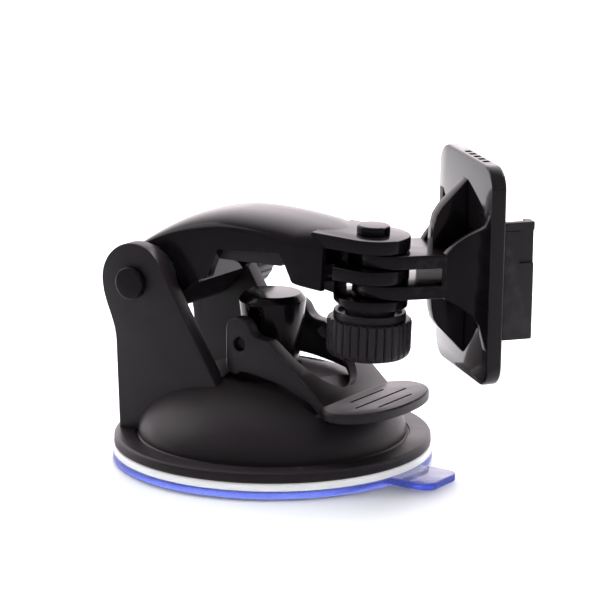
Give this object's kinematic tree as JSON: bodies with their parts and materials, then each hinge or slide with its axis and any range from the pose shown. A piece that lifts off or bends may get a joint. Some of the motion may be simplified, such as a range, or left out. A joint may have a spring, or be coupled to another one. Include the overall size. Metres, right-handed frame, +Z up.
{
  "type": "suction mount for a dash camera",
  "caption": "Suction-cup windscreen mount for a dash camera, with a lever-locked vacuum base, a tilting arched arm and a turning socket plate clamped by ribbed thumb knobs.",
  "frame": {"origin": "centre of the underside of the protective film, where the base stands", "axes": "+Z up out of the base; +X from the arm's pivot ears towards the release lever and the arm's joint; -Y is the side with the pivot bolt's round head"},
  "size_m": [0.0857, 0.0656, 0.0644],
  "materials": {
    "satin_black": "fine satin grain",
    "gloss_black": "polished moulding",
    "clear_gel": "smooth translucent gel",
    "clear_film": "clear blue-tinted film",
    "nylon": "dull moulded nylon",
    "steel": "plated",
    "brass": "machined"
  },
  "bodies": {
    "base": {"protective_film": "clear_film", "suction_pad": "clear_gel", "base_housing": "satin_black", "pad_ring": "nylon", "ring_screw_1": "steel", "ring_screw_2": "steel", "ring_screw_3": "steel", "ring_screw_4": "steel", "guide_post": "gloss_black", "tilt_bolt": "gloss_black", "tilt_washer_near": "nylon", "tilt_washer_far": "nylon"},
    "plunger": {"plunger_stem": "steel", "plunger_plate": "nylon", "plunger_screw": "steel", "return_spring": "steel", "lever_pin": "steel"},
    "lever": {"release_lever": "satin_black"},
    "arm": {"arm_shell": "gloss_black", "arm_under_cover": "satin_black", "cover_screw_1": "steel", "cover_screw_2": "steel", "joint_bolt": "gloss_black", "joint_washer": "nylon"},
    "tilt_clamp": {"tilt_knob": "satin_black", "tilt_knob_insert": "brass"},
    "joint_clamp": {"joint_knob": "satin_black", "joint_knob_insert": "brass"},
    "head": {"mount_head": "gloss_black", "camera_plate": "gloss_black", "camera_socket": "satin_black", "plate_screw_1": "steel", "plate_screw_2": "steel", "plate_screw_3": "steel", "plate_screw_4": "steel"}
  },
  "joints": [
    {"name": "plunger_slide", "type": "slide", "parent": "base", "child": "plunger", "axis": [0, 0, -1], "range_m": [0, 0.0004], "deforming": ["return_spring"]},
    {"name": "lever_hinge", "type": "hinge", "parent": "plunger", "child": "lever", "pos_m": [0, 0, 0.0257], "axis": [0, -1, 0], "range_deg": [0, 12]},
    {"name": "arm_tilt", "type": "hinge", "parent": "base", "child": "arm", "pos_m": [-0.0237, 0, 0.0361], "axis": [0, -1, 0], "range_deg": [-2, 120]},
    {"name": "head_turn", "type": "hinge", "parent": "arm", "child": "head", "pos_m": [0.0241, 0, 0.0492], "axis": [0.0436, 0, 0.999], "range_deg": [-123, 17]},
    {"name": "tilt_knob_turn", "type": "hinge", "parent": "base", "child": "tilt_clamp", "pos_m": [-0.0237, 0.0205, 0.0361], "axis": [0, 1, 0], "continuous": true},
    {"name": "joint_knob_turn", "type": "hinge", "parent": "arm", "child": "joint_clamp", "pos_m": [0.0241, 0, 0.0492], "axis": [0.0436, 0, 0.999], "continuous": true}
  ],
  "couplings": [
    {"joint": "lever_hinge", "follows": "plunger_slide", "rad_per_m": 523.6}
  ]
}
